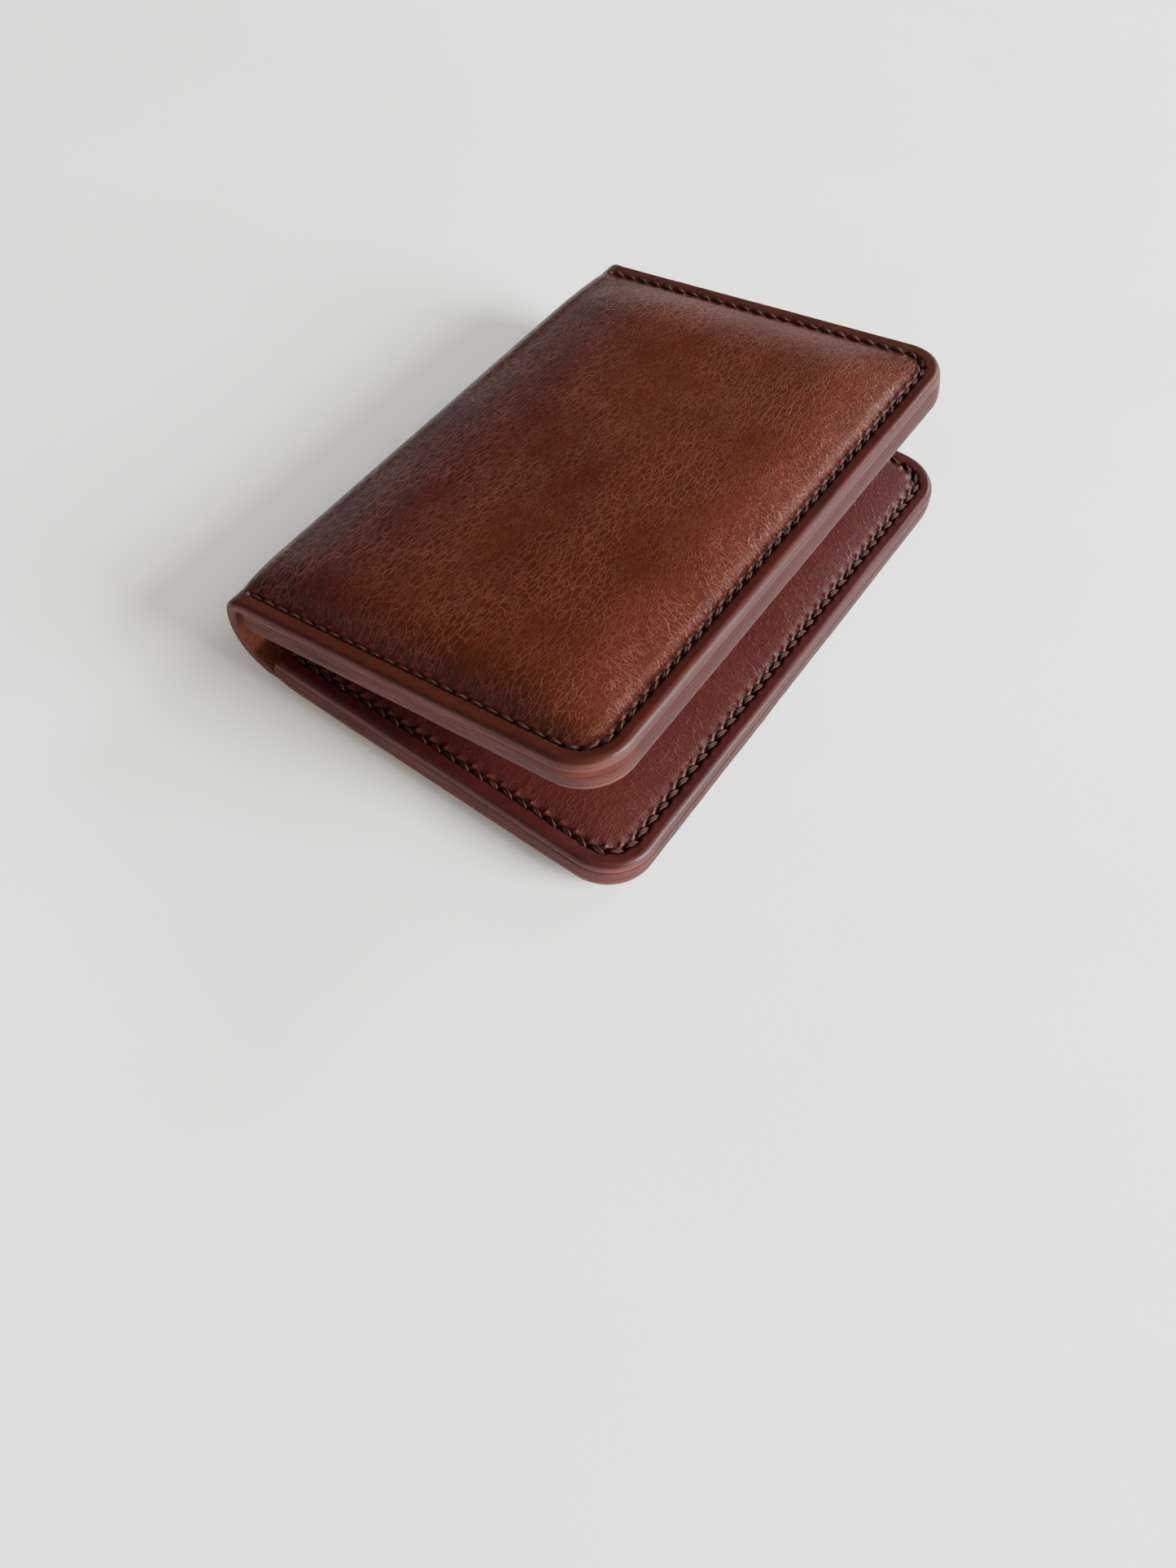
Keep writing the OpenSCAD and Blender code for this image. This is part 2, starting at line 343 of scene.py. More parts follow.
def coarse_face(b, place, sfun, u0, wfun, m0, step, edge=1.0):
    """A coarser closed-in face from inset m0 to the middle. Returns its first ring, its places, and its column at the spine end from near to far."""
    ts, js, nh = fine_places(u0)
    pick = [0] + [k for k in range(1, len(ts) - 1) if js[k] % step == 0] + [len(ts) - 1]
    ts = ts[pick]; js = js[pick]
    B, N = outline_points(ts)
    rows, n = [], len(ts)
    for m in (m0, 5.4, 6.6, 7.8):
        P = B + m * N
        w = wfun(P[:, 0], P[:, 1], np.full(n, m))
        rows.append(b.add(place(P[:, 0], P[:, 1], w), lc=np.stack([sfun(P[:, 0]), P[:, 1], w], -1), edge=np.full((n, 1), edge), inset=np.full((n, 1), m)))
    us = np.array([t for t in ts if t < STRAIGHT - 0.4] + [STRAIGHT])
    mid = (ts > STRAIGHT + ARC + 0.4) & (ts < STRAIGHT + ARC + FORE - 0.4)
    ys = np.concatenate([[-HALF + R_CORNER], ts[mid] - STRAIGHT - ARC - HALF + R_CORNER, [HALF - R_CORNER]])
    U, Y = np.meshgrid(us, ys, indexing="ij")
    M = np.minimum(np.minimum(Y + HALF, HALF - Y), W - U)
    w = wfun(U.ravel(), Y.ravel(), M.ravel())
    grid = b.add(place(U.ravel(), Y.ravel(), w), lc=np.stack([sfun(U.ravel()), Y.ravel(), w], -1), edge=np.full((U.size, 1), edge), inset=M.reshape(-1, 1)).reshape(U.shape)
    for r0, r1 in zip(rows[:-1], rows[1:]):
        b.quads(r0, r1, 1)
    for i in range(len(us) - 1):
        b.quads(grid[i], grid[i + 1], 1)
    loop = list(grid[:, 0]) + list(grid[-1, 1:-1]) + list(grid[::-1, -1])
    tl = list(us[:-1]) + [STRAIGHT + ARC / 2] + list(ys[1:-1] + STRAIGHT + ARC + HALF - R_CORNER) + [STRAIGHT + ARC + FORE + ARC / 2] + list(T_ALL - us[-2::-1])
    b.zipper(list(rows[-1]), list(ts), loop, tl, 1)
    column = [r[0] for r in rows] + list(grid[0, :]) + [r[-1] for r in reversed(rows)]
    return rows[0], ts, column


def padding(name, place, crown, mats):
    """The pad under a dome: crowned on top, flat below, thin at its rim."""
    b = Build()
    top, ts, col_t = coarse_face(b, place, s_front, 3.4, lambda u, y, m: -COVER_T - 0.03 + np.maximum(crown * dome_shape(u, y, m, crown > 2.4) - 0.02, 0.04), 4.4, 6)
    bot, _, col_b = coarse_face(b, place, s_front, 3.4, lambda u, y, m: -COVER_T - 0.03 + 0 * u, 4.4, 6)
    b.quads(top, bot, 1)
    b.quads(col_t, col_b, 1)
    b.mat = [0] * len(b.mat)
    return b.object(name, mats)


def plate(name, place, side, u0, height, edge_w, hidden_w, mats, sfun, seed, extra=(), end_drop=0.0, under=None):
    """A leather layer with one modelled face, a rounded edge and a plain hidden face.
    side: 1 if the face is the outer one (w up), -1 if the inner one."""
    b = Build()
    face_w = edge_w[0]
    ts, js, nh = fine_places(u0, extra)
    B, N = outline_points(ts)
    n = len(ts)

    def drop(u):
        return end_drop * np.clip(1 - (u - u0) / 0.75, 0, 1) ** 2 if end_drop else 0 * u

    rows = []
    for m in RINGS:
        P = B + m * N
        h = height(P[:, 0], P[:, 1], np.full(n, m), ts)
        w = face_w + side * (h - drop(P[:, 0]))
        rows.append(b.add(place(P[:, 0], P[:, 1], w), lc=np.stack([sfun(P[:, 0]), P[:, 1], w], -1),
                          edge=np.zeros((n, 1)), inset=np.full((n, 1), m)))
    for k, w0 in enumerate(edge_w):
        e = edge_inset(w0, ts, seed)
        if k == len(edge_w) - 1:
            e = e + (0.01 if side > 0 else 0.05)
        if k == 0:
            e = e - 0.03
        P = B + e[:, None] * N
        w = np.full(n, w0) - side * drop(P[:, 0]) * (1.0 if k == 0 else max(0.0, 1 - abs(w0 - face_w) / 0.9))
        amount = float(np.clip(abs(w0 - face_w) / 0.55, 0, 1))
        rows.append(b.add(place(P[:, 0], P[:, 1], w), lc=np.stack([sfun(P[:, 0]), P[:, 1], w], -1),
                          edge=np.full((n, 1), amount), inset=np.full((n, 1), 0.0) + e[:, None]))
    P = B + 0.8 * N
    w = np.full(n, hidden_w)
    rows.append(b.add(place(P[:, 0], P[:, 1], w), lc=np.stack([sfun(P[:, 0]), P[:, 1], w], -1),
                      edge=np.full((n, 1), 1.0), inset=np.full((n, 1), 0.8)))
    for r0, r1 in zip(rows[:-1], rows[1:]):
        b.quads(r0, r1)
    # middle of the face
    near = (ts < STRAIGHT - 0.15)
    pick = [k for k in range(n) if near[k] and (k < nh or js[k] % 2 == 0)]
    us = np.array([ts[k] for k in pick] + [STRAIGHT])
    mid = (ts > STRAIGHT + ARC + 0.15) & (ts < STRAIGHT + ARC + FORE - 0.15) & (js % 2 == 0)
    ys = np.concatenate([[-HALF + R_CORNER], ts[mid] - STRAIGHT - ARC - HALF + R_CORNER, [HALF - R_CORNER]])
    U, Y = np.meshgrid(us, ys, indexing="ij")
    M = np.minimum(np.minimum(Y + HALF, HALF - Y), W - U)
    tt = np.where(Y < 0, U, T_ALL - U)
    h = height(U.ravel(), Y.ravel(), M.ravel(), tt.ravel())
    w = face_w + side * (h - drop(U.ravel()))
    grid = b.add(place(U.ravel(), Y.ravel(), w), lc=np.stack([sfun(U.ravel()), Y.ravel(), w], -1),
                 edge=np.zeros((U.size, 1)), inset=M.reshape(-1, 1)).reshape(U.shape)
    for i in range(len(us) - 1):
        b.quads(grid[i], grid[i + 1])
    loop = list(grid[:, 0]) + list(grid[-1, 1:-1]) + list(grid[::-1, -1])
    tl = list(us[:-1]) + [STRAIGHT + ARC / 2] + list(ys[1:-1] + STRAIGHT + ARC + HALF - R_CORNER) + [STRAIGHT + ARC + FORE + ARC / 2] + list(T_ALL - us[-2::-1])
    b.zipper(list(rows[0]), list(ts), loop, tl)
    # hidden face and the end at the spine
    hid = 1 if len(mats) > 1 else 0
    end = [r[0] for r in reversed(rows)] + list(grid[0, :]) + [r[-1] for r in rows]
    if under is None:
        b.face(list(rows[-1]), hid)
        b.face(end, hid)
    else:
        ring, tr, column = coarse_face(b, place, sfun, u0, under, 4.4, 6)
        b.zipper(list(rows[-1]), list(ts), list(ring), list(tr), hid)
        b.face(end + column[::-1], hid)
    return b.object(name, mats)


def sheet_edge(name, place, u0, w_top, w_bot, mats, seed, region="all"):
    """A plain inner layer whose outer wall follows the burnished edge of the stack."""
    ts, js, nh = fine_places(u0)
    sel = np.concatenate([[0], np.arange(1, len(ts) - 1, 2), [len(ts) - 1]])
    ts = ts[sel]
    lim = HALF - WELT_W
    cut = STRAIGHT + ARC_R * math.acos(1 - WELT_W / R_CORNER)
    if region != "all":
        ts = np.sort(np.concatenate([ts[np.abs(np.minimum(ts, T_ALL - ts) - cut) > 0.03], [cut - 0.004, cut + 0.004, T_ALL - cut - 0.004, T_ALL - cut + 0.004]]))
    B, N = outline_points(ts)
    if region == "near":
        keep = ts < cut
        tail = np.array([[W - WELT_W, -lim], [u0, -lim]])
    elif region == "far":
        keep = ts > T_ALL - cut
        tail = np.array([[u0, lim], [W - WELT_W, lim]])
    elif region == "fore":
        keep = (ts > cut) & (ts < T_ALL - cut)
        tail = np.array([[W - WELT_W, lim - 0.01], [W - WELT_W, -lim + 0.01]])
    else:
        keep = np.ones(len(ts), bool)
        tail = np.zeros((0, 2))
    B, N, ts = B[keep], N[keep], ts[keep]
    b = Build()
    ws = [w_top, w_top - 0.07] + list(np.linspace(w_top - 0.07, w_bot + 0.07, 4)[1:-1]) + [w_bot + 0.07, w_bot]
    rows = []
    for k, w0 in enumerate(ws):
        e = edge_inset(w0, ts, seed) + ((0.04 if abs(w0 - Z_WELT) < 0.1 else 0.004) if k in (0, len(ws) - 1) else 0.0)
        P = np.concatenate([B + e[:, None] * N, tail])
        w = np.full(len(P), w0)
        rows.append(b.add(place(P[:, 0], P[:, 1], w), lc=np.stack([P[:, 0], P[:, 1], w], -1),
                          edge=np.concatenate([np.ones(len(ts)), np.zeros(len(tail))])[:, None],
                          inset=np.concatenate([e, np.full(len(tail), 5.0)])[:, None]))
    for r0, r1 in zip(rows[:-1], rows[1:]):
        b.quads(r0, r1, close=True)
    b.face(list(rows[0])); b.face(list(rows[-1]))
    return b.object(name, mats)


# --------------------------------------------------------------------------
# The spine: one curve from the back cover's seam to the front cover's
# --------------------------------------------------------------------------
def spline(points, d0, d1, n=900):
    p = np.array(points, float)
    k = len(p)
    h = np.linalg.norm(np.diff(p, axis=0), axis=1)
    x = np.concatenate([[0], np.cumsum(h)])
    A = np.zeros((k, k)); r = np.zeros((k, 2))
    A[0, 0] = 1; r[0] = d0; A[-1, -1] = 1; r[-1] = d1
    for i in range(1, k - 1):
        A[i, i - 1] = 1 / h[i - 1]; A[i, i] = 2 / h[i - 1] + 2 / h[i]; A[i, i + 1] = 1 / h[i]
        r[i] = 3 * ((p[i] - p[i - 1]) / h[i - 1] ** 2 + (p[i + 1] - p[i]) / h[i] ** 2)
    D = np.linalg.solve(A, r)
    xs = np.linspace(0, x[-1], n)
    i = np.clip(np.searchsorted(x, xs, side="right") - 1, 0, k - 2)
    s = (xs - x[i]) / h[i]
    h00 = 2 * s ** 3 - 3 * s ** 2 + 1; h10 = s ** 3 - 2 * s ** 2 + s
    h01 = -2 * s ** 3 + 3 * s ** 2; h11 = s ** 3 - s ** 2
    return (h00[:, None] * p[i] + (h10 * h[i])[:, None] * D[i] + h01[:, None] * p[i + 1] + (h11 * h[i])[:, None] * D[i + 1])


X0, ZE = H[2][0], H[0][1]            # spine's outermost place, and the back's edge plane
start = np.array([H[0][0] + SEAM, ZE + PINCH_H])
finish_ = place_front(np.array([SEAM]), 0.0, np.array([0.0]))[0][[0, 2]]
inner_pts = [(6.75, 1.42), (5.15, 2.02), (3.55, 2.92), (2.1, 4.2), (0.86, 6.1), (0.14, 8.2), (-0.06, 10.2), (0.02, 12.2), (0.56, 14.15), (1.62, 15.5)]
pts = [start] + [np.array([X0 + a, ZE + c]) for a, c in inner_pts] + [H[3] + np.array([0.0, -0.06])] + [finish_]
curve = spline(pts, np.array([-0.955, 0.297]), np.array([CO, SO]))
seg = np.linalg.norm(np.diff(curve, axis=0), axis=1)
arc = np.concatenate([[0], np.cumsum(seg)])
LEN = arc[-1]


def at_arc(a):
    return np.stack([np.interp(a, arc, curve[:, 0]), np.interp(a, arc, curve[:, 1])], -1)


def cross_arc(point, direction):
    v = (curve - point) @ direction
    k = np.nonzero((v[:-1] <= 0) & (v[1:] > 0))[0]
    k = k[np.argmin(np.abs(curve[k] - point).sum(1))]
    return arc[k] - v[k] / (v[k + 1] - v[k]) * seg[k]


MIDS = []
for i in range(3):
    d = (H[i + 1] - H[i]) / np.linalg.norm(H[i + 1] - H[i])
    MIDS.append(cross_arc((H[i] + H[i + 1]) / 2, d))
CUTS = [0.0] + MIDS + [LEN]


def s_front(u):
    return np.asarray(u, float) * 1.0


def s_back(u):
    return SEAM - LEN - (np.asarray(u, float) - SEAM)


STACK_EDGE_W = np.array([0.0, -0.10, -0.36, -0.74, -1.25, -1.62, -1.69])
SPINE_EDGE = np.array([[0.72, 0.0], [0.40, -0.08], [0.17, -0.27], [0.04, -0.55], [0.0, -0.95], [0.14, -1.42], [0.42, -1.68]])


def spine_piece(name, a0, a1, mats, seed):
    b = Build()
    rows_n = max(8, int(round((a1 - a0) / 0.24)))
    A = np.linspace(a0, a1, rows_n + 1)
    eps = 0.02
    C = at_arc(A)
    T = at_arc(np.minimum(A + eps, LEN)) - at_arc(np.maximum(A - eps, 0))
    T = T / np.linalg.norm(T, axis=1)[:, None]
    INW = np.stack([T[:, 1], -T[:, 0]], -1)          # towards the inside of the fold
    k = smooth(A, 0, 2.2)
    INW = INW * k[:, None] + np.array([0.0, 1.0]) * (1 - k[:, None])
    INW = INW / np.linalg.norm(INW, axis=1)[:, None]
    u = SEAM - LEN + A                                # place along the wrap, u of the front cover
    thick = 1.7 - (1 - k) * (PINCH_H * (1 - (1 - 1.7 / 6.1))) + 0.42 * np.exp(-((u + 4.6) / 2.7) ** 2)
    ub = SEAM - A                                     # u of the back cover
    ys_mid = mid_columns()
    m_list = list(RINGS)
    rows = []
    near_front = smooth(u, -1.6, SEAM)
    near_back = 1 - smooth(A, 0.0, 2.6)
    stack = np.maximum(near_front, near_back)
    for r in range(len(A)):
        y_out = np.concatenate([-HALF + np.array(m_list)[::-1], ys_mid, HALF - np.array(m_list)])
        m_out = np.concatenate([np.array(m_list)[::-1], np.full(len(ys_mid), 9.0), np.array(m_list)])
        uu = np.full(len(y_out), u[r]); bb = np.full(len(y_out), ub[r])
        tt_f = np.where(y_out < 0, uu, T_ALL - uu)
        tt_b = np.where(y_out < 0, bb, T_ALL - bb)
        roll = CROWN_FRONT * dome_shape(uu, y_out, m_out, True)
        hf = roll + (cover_height(uu, y_out, m_out, tt_f, CROWN_FRONT, SEED_FRONT) - roll) * smooth(u[r], -1.0, 0.2)
        hb = cover_height(bb, y_out, m_out, tt_b, CROWN_BACK, SEED_BACK) * (1 - smooth(A[r], 1.3, 2.5))
        mid_w = smooth(u[r], -3.0, -0.5) + (1 - smooth(A[r], 1.0, 3.5))
        hm = (0.05 * fbm(np.full(len(y_out), u[r]) / 6.0, y_out / 26.0, 77, 2) + 0.012 * fbm(np.full(len(y_out), u[r]) / 1.6, y_out / 4.0, 79, 2)) * (1 - min(1.0, float(mid_w)))
        h_out = hf + hb + hm
        # edge rings, near then far
        e_st = np.interp(-STACK_EDGE_W, -EDGE_W, EDGE_E) + 0.03
        e_st[0] = 1.15
        e_mix = SPINE_EDGE[:, 0] * (1 - stack[r]) + e_st * stack[r]
        w_mix = (SPINE_EDGE[:, 1] * (1 - stack[r]) + STACK_EDGE_W * stack[r]) * thick[r] / 1.7
        t_edge = u[r]
        e_near = e_mix + 0.04 * float(vnoise(t_edge / 5.0, 0.3, 41)); e_far = e_mix + 0.04 * float(vnoise(t_edge / 5.0, 7.3, 43))
        if stack[r] > 0.98:
            e_near, e_far = e_mix, e_mix
        y_near = -HALF + e_near; y_far = HALF - e_far
        y_in = np.linspace(-HALF + 0.9, HALF - 0.9, 60)
        rough = 0.05 * fbm(np.full(60, u[r]) / 1.1, y_in / 1.3, 91, 3) * (1 - stack[r])
        ys = np.concatenate([y_near[::-1], y_out, y_far, y_in[::-1]])
        hs = np.concatenate([w_mix[::-1], h_out, w_mix, (-thick[r] - 0 * y_in + rough)[::-1]])
        P = C[r][None, :] - hs[:, None] * INW[r][None, :]
        ed = np.clip(-hs / 0.5, 0, 1); ed[len(w_mix):len(w_mix) + len(y_out)] = 0
        ed[-60:] = 1.0
        ins = HALF - np.abs(ys)
        rows.append(b.add(np.stack([P[:, 0], ys, P[:, 1]], -1), lc=np.stack([np.full(len(ys), u[r]), ys, hs], -1),
                          edge=ed[:, None], inset=ins[:, None]))
    nloop = len(rows[0]); first_in = nloop - 60
    for r0, r1 in zip(rows[:-1], rows[1:]):
        for i in range(nloop):
            kx = (i + 1) % nloop
            inner = i >= first_in - 1
            b.faces.append((r0[i], r0[kx], r1[kx], r1[i])); b.mat.append(1 if inner else 0)
    b.face(list(rows[0]), 1); b.face(list(rows[-1]), 1)
    return b.object(name, mats, sharp=42)


def mid_columns():
    ts, js, nh = fine_places(SEAM)
    mid = (ts > STRAIGHT + ARC + 0.15) & (ts < STRAIGHT + ARC + FORE - 0.15) & (js % 2 == 0)
    return np.concatenate([[-HALF + R_CORNER], ts[mid] - STRAIGHT - ARC - HALF + R_CORNER, [HALF - R_CORNER]])


# --------------------------------------------------------------------------
# Thread: every stitch is two plies twisted together, diving into its holes
# --------------------------------------------------------------------------
def stitches(name, place, inner, skip, seed, mat):
    b = Build()
    rings, sides = 15, 8
    v = np.linspace(-1, 1, rings)
    side = -1 if inner else 1
    base = Z_POCK if inner else 0.0
    for k in range(skip, COUNT - skip):
        j1, j2, j3 = (float(hash01(k, q, seed)) - 0.5 for q in (1, 2, 3))
        tc = FIRST + (k + 0.5) * PITCH
        t = tc + v * PITCH / 2 * 0.99
        slant = (0.24 if inner else 0.13) + 0.05 * j1
        across = slant * np.sin(v * np.pi / 2) * (-1 if inner else 1) + 0.05 * j2
        crest = (-0.05 if inner else -0.12) + 0.05 * j3
        hgt = crest - 1.05 * np.abs(v) ** (3.0 if inner else 2.6) - 0.06 * np.abs(v) ** 1.5
        B, N = outline_points(t)
        m = STITCH_IN + across
        P = B + m[:, None] * N
        cen = np.stack([P[:, 0], P[:, 1], base + side * hgt], -1)
        tan = np.gradient(cen, axis=0); tan /= np.linalg.norm(tan, axis=1)[:, None]
        up = np.array([0, 0, 1.0]) * side
        s1 = np.cross(tan, up); s1 /= np.linalg.norm(s1, axis=1)[:, None]
        s2 = np.cross(s1, tan)
        narrow = (1 - 0.56 * np.abs(v) ** 2.2) * (1.0 if inner else 0.92) * (1 + 0.16 * j3)
        twist = v * 1.9 + (0.5 + j1) * 0.9
        for ply in (0, 1):
            ang = twist + ply * np.pi
            off = 0.165 * narrow
            c = cen + (np.cos(ang) * off)[:, None] * s1 + (np.sin(ang) * off * 0.8)[:, None] * s2
            rad = 0.215 * narrow * (1 + 0.08 * j2)
            prev = None
            for r in range(rings):
                a = np.arange(sides) / sides * 2 * np.pi
                q = c[r] + rad[r] * (np.cos(a)[:, None] * s1[r] + np.sin(a)[:, None] * s2[r])
                idx = b.add(place(q[:, 0], q[:, 1], q[:, 2]), lc=np.stack([np.full(sides, t[r]), a / (2 * np.pi) + ply + k * 7.0, np.full(sides, v[r])], -1),
                            edge=np.full((sides, 1), abs(v[r])), inset=np.full((sides, 1), 0.0))
                if prev is not None:
                    b.quads(prev, idx, close=True)
                else:
                    b.face(list(idx))
                prev = idx
            b.face(list(prev))
    return b.object(name, [mat], sharp=60)


# --------------------------------------------------------------------------
# Materials
# --------------------------------------------------------------------------
DEPTH = 0.350


def lin(r, g, b):
    f = lambda c: (c / 255.0 / 12.92) if c / 255.0 <= 0.04045 else ((c / 255.0 + 0.055) / 1.055) ** 2.4
    return (DEPTH * f(r), DEPTH * f(g), DEPTH * f(b), 1.0)


class Mat:
    def __init__(self, name):
        self.m = bpy.data.materials.new(name)
        self.m.use_nodes = True
        self.t = self.m.node_tree
        self.t.nodes.clear()
        self.out = self.t.nodes.new("ShaderNodeOutputMaterial")
        self.bsdf = self.t.nodes.new("ShaderNodeBsdfPrincipled")
        self.t.links.new(self.bsdf.outputs[0], self.out.inputs[0])

    def put(self, socket, value):
        if hasattr(value, "is_output"):
            self.t.links.new(value, socket)
        else:
            socket.default_value = value

    def set(self, **kw):
        for k, v in kw.items():
            self.put(self.bsdf.inputs[k.replace("_", " ")], v)

    def attr(self, name, out="Vector"):
        n = self.t.nodes.new("ShaderNodeAttribute"); n.attribute_name = name
        return n.outputs[out]

    def scale(self, vec, s, offset=(0, 0, 0)):
        n = self.t.nodes.new("ShaderNodeMapping")
        self.t.links.new(vec, n.inputs["Vector"])
        n.inputs["Scale"].default_value = s
        n.inputs["Location"].default_value = offset
        return n.outputs[0]

    def noise(self, vec, scale, detail=3, rough=0.55, distort=0.0, out="Fac"):
        n = self.t.nodes.new("ShaderNodeTexNoise")
        self.t.links.new(vec, n.inputs["Vector"])
        n.inputs["Scale"].default_value = scale
        n.inputs["Detail"].default_value = detail
        n.inputs["Roughness"].default_value = rough
        n.inputs["Distortion"].default_value = distort
        return n.outputs["Fac" if out == "Fac" else "Color"]

    def cells(self, vec, scale, feature="DISTANCE_TO_EDGE", rnd=1.0, out="Distance"):
        n = self.t.nodes.new("ShaderNodeTexVoronoi")
        n.feature = feature
        self.t.links.new(vec, n.inputs["Vector"])
        n.inputs["Scale"].default_value = scale
        n.inputs["Randomness"].default_value = rnd
        return n.outputs[out]

    def math(self, op, a, b=0.0, c=0.0, clamp=False):
        n = self.t.nodes.new("ShaderNodeMath"); n.operation = op; n.use_clamp = clamp
        self.put(n.inputs[0], a); self.put(n.inputs[1], b); self.put(n.inputs[2], c)
        return n.outputs[0]

    def vadd(self, a, b, k=1.0):
        m = self.t.nodes.new("ShaderNodeVectorMath"); m.operation = "SCALE"
        self.put(m.inputs[0], b); m.inputs["Scale"].default_value = k
        n = self.t.nodes.new("ShaderNodeVectorMath"); n.operation = "ADD"
        self.put(n.inputs[0], a); self.put(n.inputs[1], m.outputs[0])
        return n.outputs[0]

    def ramp(self, x, a, b, lo=0.0, hi=1.0, smooth_=True):
        n = self.t.nodes.new("ShaderNodeMapRange")
        n.interpolation_type = "SMOOTHSTEP" if smooth_ else "LINEAR"
        self.put(n.inputs["Value"], x)
        n.inputs["From Min"].default_value = a; n.inputs["From Max"].default_value = b
        n.inputs["To Min"].default_value = lo; n.inputs["To Max"].default_value = hi
        return n.outputs["Result"]

    def mix(self, f, a, b, mode="MIX"):
        n = self.t.nodes.new("ShaderNodeMix"); n.data_type = "RGBA"; n.blend_type = mode
        self.put(n.inputs["Factor"], f)
        self.put(n.inputs[6], a); self.put(n.inputs[7], b)
        return n.outputs[2]

    def bump(self, h, strength, distance, normal=None):
        n = self.t.nodes.new("ShaderNodeBump")
        self.put(n.inputs["Height"], h)
        n.inputs["Strength"].default_value = strength
        n.inputs["Distance"].default_value = distance
        if normal is not None:
            self.t.links.new(normal, n.inputs["Normal"])
        return n.outputs[0]

    def split(self, vec):
        n = self.t.nodes.new("ShaderNodeSeparateXYZ")
        self.t.links.new(vec, n.inputs[0])
        return n.outputs


